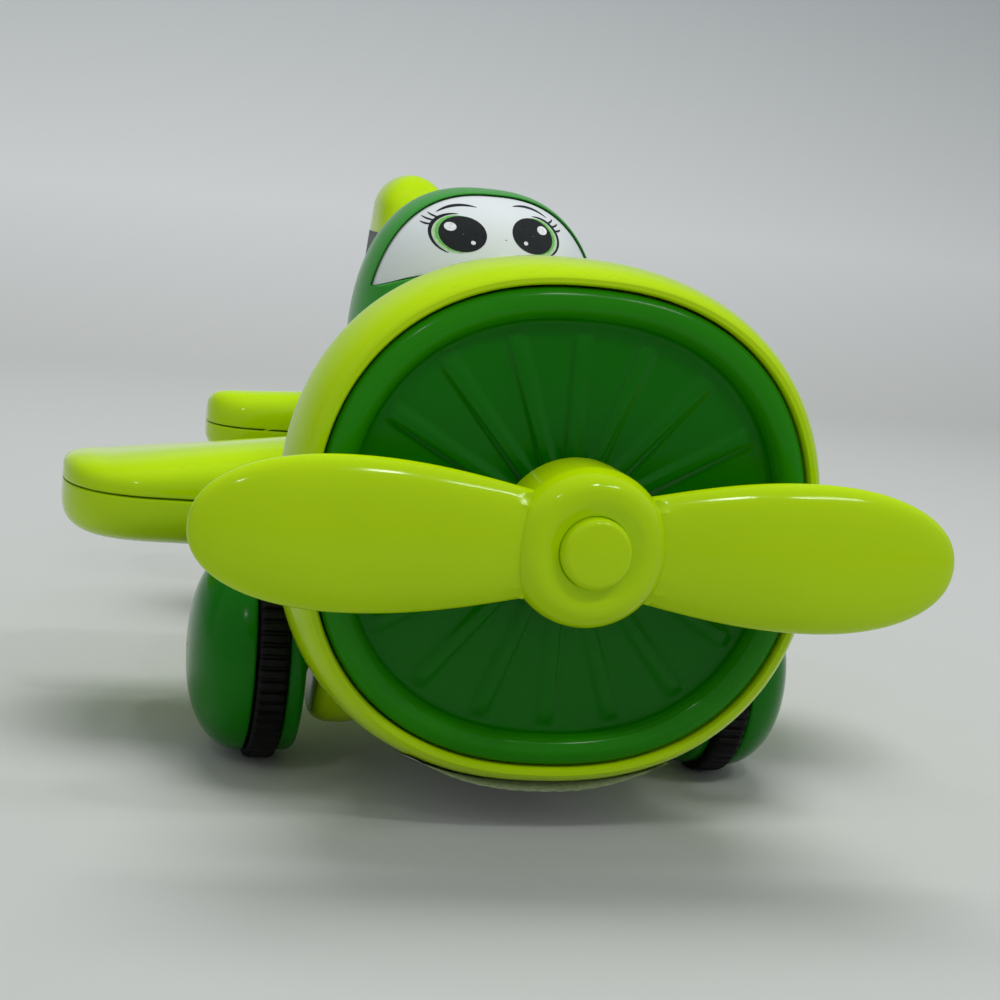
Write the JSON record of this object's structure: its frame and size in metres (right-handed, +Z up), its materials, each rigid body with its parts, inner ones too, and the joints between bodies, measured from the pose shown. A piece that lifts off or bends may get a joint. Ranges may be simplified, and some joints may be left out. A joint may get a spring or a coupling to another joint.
{
  "type": "toy airplane",
  "caption": "Moulded plastic toy airplane with free-rolling wheels geared to a flywheel and a two-blade propeller, a domed canopy with a printed face, and a tail wheel.",
  "frame": {"origin": "on the floor, under the middle of the whole airplane's box", "axes": "the airplane flies towards -Y, +X is its own left side, +Z is up"},
  "size_m": [0.1398, 0.1842, 0.0944],
  "materials": {
    "lime_plastic": "glossy injection moulded, bright yellow-green",
    "green_plastic": "glossy injection moulded, deep green",
    "canopy_plastic": "satin injection moulded, mid green",
    "white_plastic": "smooth white plastic with a printed face",
    "decal_film": "dark printed film",
    "label_film": "blank white film",
    "tyre_rubber": "ribbed black rubber",
    "steel": "plain steel",
    "brass": "plain brass",
    "gear_nylon": "natural nylon",
    "gearbox_plastic": "grey moulded plastic"
  },
  "bodies": {
    "airframe": {"upper_shell": "lime_plastic", "lower_shell": "lime_plastic", "nose_cowl": "lime_plastic", "engine_grille": "green_plastic", "canopy_frame": "canopy_plastic", "windscreen_panel": "white_plastic", "left_fin_decal": "decal_film", "right_fin_decal": "decal_film", "belly_label": "label_film", "propeller_bush": "brass", "gearbox_left": "gearbox_plastic", "gearbox_right": "gearbox_plastic", "gearbox_screw_1": "steel", "gearbox_screw_2": "steel", "gearbox_screw_3": "steel", "shell_screw_1": "steel", "shell_screw_2": "steel", "shell_screw_3": "steel", "shell_screw_4": "steel", "tail_wheel_pin": "steel"},
    "axle": {"front_axle": "steel", "axle_gear": "gear_nylon", "left_tyre": "tyre_rubber", "left_wheel_dome": "green_plastic", "left_wheel_disc": "green_plastic", "right_tyre": "tyre_rubber", "right_wheel_dome": "green_plastic", "right_wheel_disc": "green_plastic"},
    "idler": {"idler_shaft": "steel", "idler_gear": "gear_nylon"},
    "flywheel_set": {"flywheel_shaft": "steel", "flywheel_pinion": "gear_nylon", "flywheel": "steel"},
    "propeller_set": {"propeller": "lime_plastic", "spinner_cap": "lime_plastic", "propeller_shaft": "steel", "propeller_pinion": "gear_nylon"},
    "tail_roller": {"tail_wheel": "green_plastic"}
  },
  "joints": [
    {"name": "axle_spin", "type": "hinge", "parent": "airframe", "child": "axle", "pos_m": [0, -0.0349, 0.0175], "axis": [1, 0, 0], "continuous": true},
    {"name": "idler_spin", "type": "hinge", "parent": "airframe", "child": "idler", "pos_m": [0, -0.0349, 0.046], "axis": [1, 0, 0], "continuous": true},
    {"name": "flywheel_spin", "type": "hinge", "parent": "airframe", "child": "flywheel_set", "pos_m": [0, -0.0094, 0.046], "axis": [1, 0, 0], "continuous": true},
    {"name": "propeller_spin", "type": "hinge", "parent": "airframe", "child": "propeller_set", "pos_m": [0, -0.0857, 0.046], "axis": [0, 1, 0], "continuous": true},
    {"name": "tail_wheel_spin", "type": "hinge", "parent": "airframe", "child": "tail_roller", "pos_m": [0, 0.0631, 0.007], "axis": [1, 0, 0], "continuous": true}
  ],
  "couplings": [
    {"joint": "idler_spin", "follows": "axle_spin", "ratio": -0.32558},
    {"joint": "flywheel_spin", "follows": "axle_spin", "ratio": 1.75},
    {"joint": "propeller_spin", "follows": "axle_spin", "ratio": 1.2209}
  ]
}
